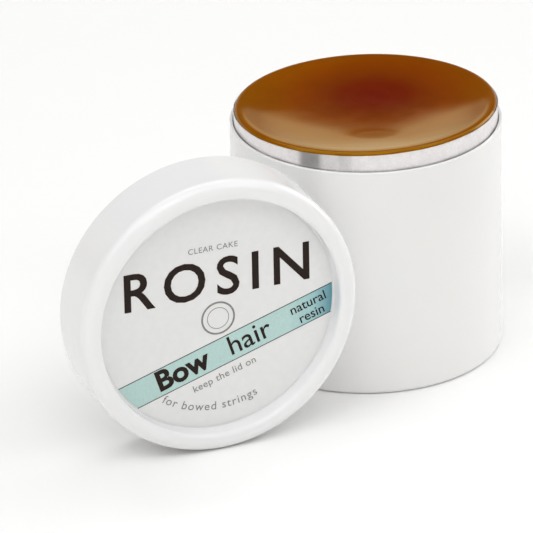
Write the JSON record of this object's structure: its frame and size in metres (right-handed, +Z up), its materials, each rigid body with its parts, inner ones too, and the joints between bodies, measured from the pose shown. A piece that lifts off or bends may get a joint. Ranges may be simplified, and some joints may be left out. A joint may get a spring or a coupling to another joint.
{
  "type": "rosin cake",
  "caption": "Round cake of bow rosin in foil, set in a plain open pot, with its slip-on lid standing on edge beside it.",
  "frame": {"origin": "centre of the pot's flat underside", "axes": "+Z up along the axis of the pot and the cake; the lid stands on edge with its axis along Y and its face towards -Y"},
  "size_m": [0.082, 0.0512, 0.0464],
  "materials": {
    "pot_plastic": "glossy white moulded plastic",
    "lid_plastic": "glossy white moulded plastic",
    "foil": "thin foil, slightly creased",
    "rosin": "clear amber resin with a glossy cast face",
    "label_paper": "coated paper, satin"
  },
  "bodies": {
    "pot": {"pot": "pot_plastic"},
    "cake": {"rosin_cake": "rosin", "foil_wrapper": "foil"},
    "lid": {"lid": "lid_plastic", "label": "label_paper"}
  },
  "joints": [
    {"name": "cake_lift", "type": "slide", "parent": "pot", "child": "cake", "axis": [0, 0, 1], "range_m": [0, 0.044]},
    {"name": "lid_lift", "type": "slide", "parent": "pot", "child": "lid", "axis": [0, 0, 1], "range_m": [0, 0.08]}
  ]
}
